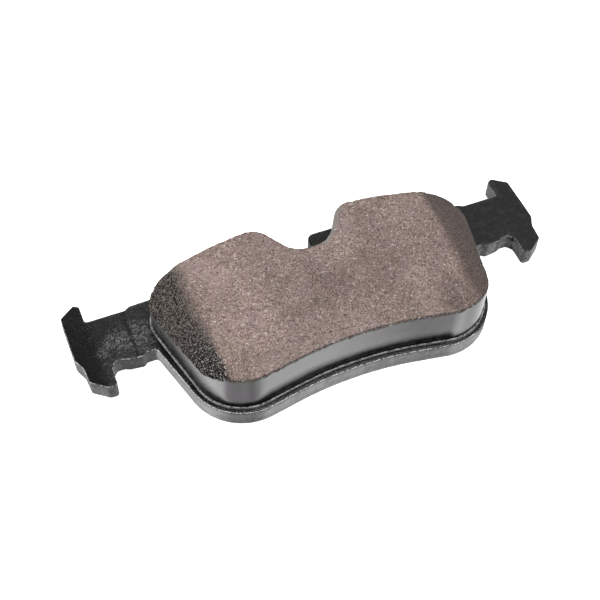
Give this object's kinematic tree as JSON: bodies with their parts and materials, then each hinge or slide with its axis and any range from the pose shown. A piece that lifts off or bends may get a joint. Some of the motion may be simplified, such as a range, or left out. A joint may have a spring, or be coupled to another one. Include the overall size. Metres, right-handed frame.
{
  "type": "disc brake pad",
  "caption": "Disc brake pad with hammerhead ears, a notched and end-chamfered friction block on a dark underlayer, a stamped backing plate and a laminated noise shim.",
  "frame": {"origin": "centre of the pad's footprint on the shim's outer face", "axes": "+X along the pad from ear to ear, +Y towards the notched outer edge, +Z out of the friction face"},
  "size_m": [0.123, 0.0442, 0.0172],
  "materials": {
    "backing_plate": "semi-gloss black powder coat, finely pebbled, scuffed grey on the ears",
    "bond_film": "cured phenolic adhesive, glossy squeezed-out bead",
    "underlayer": "dense near-black moulded layer, satin side",
    "friction_block": "matt ground face with fine brown, pink and dark grains; smooth grey moulded sides",
    "shim_adhesive": "thin pressure-sensitive adhesive",
    "shim_inner_steel": "cold-rolled sheet",
    "shim_damping_core": "thin rubber layer",
    "shim_outer_steel": "cold-rolled sheet",
    "shim_facing": "matt black rubber coating"
  },
  "bodies": {
    "root": {"backing_plate": "backing_plate", "bond_film": "bond_film", "underlayer": "underlayer", "friction_block": "friction_block", "shim_adhesive": "shim_adhesive", "shim_inner_steel": "shim_inner_steel", "shim_damping_core": "shim_damping_core", "shim_outer_steel": "shim_outer_steel", "shim_facing": "shim_facing"}
  },
  "joints": []
}
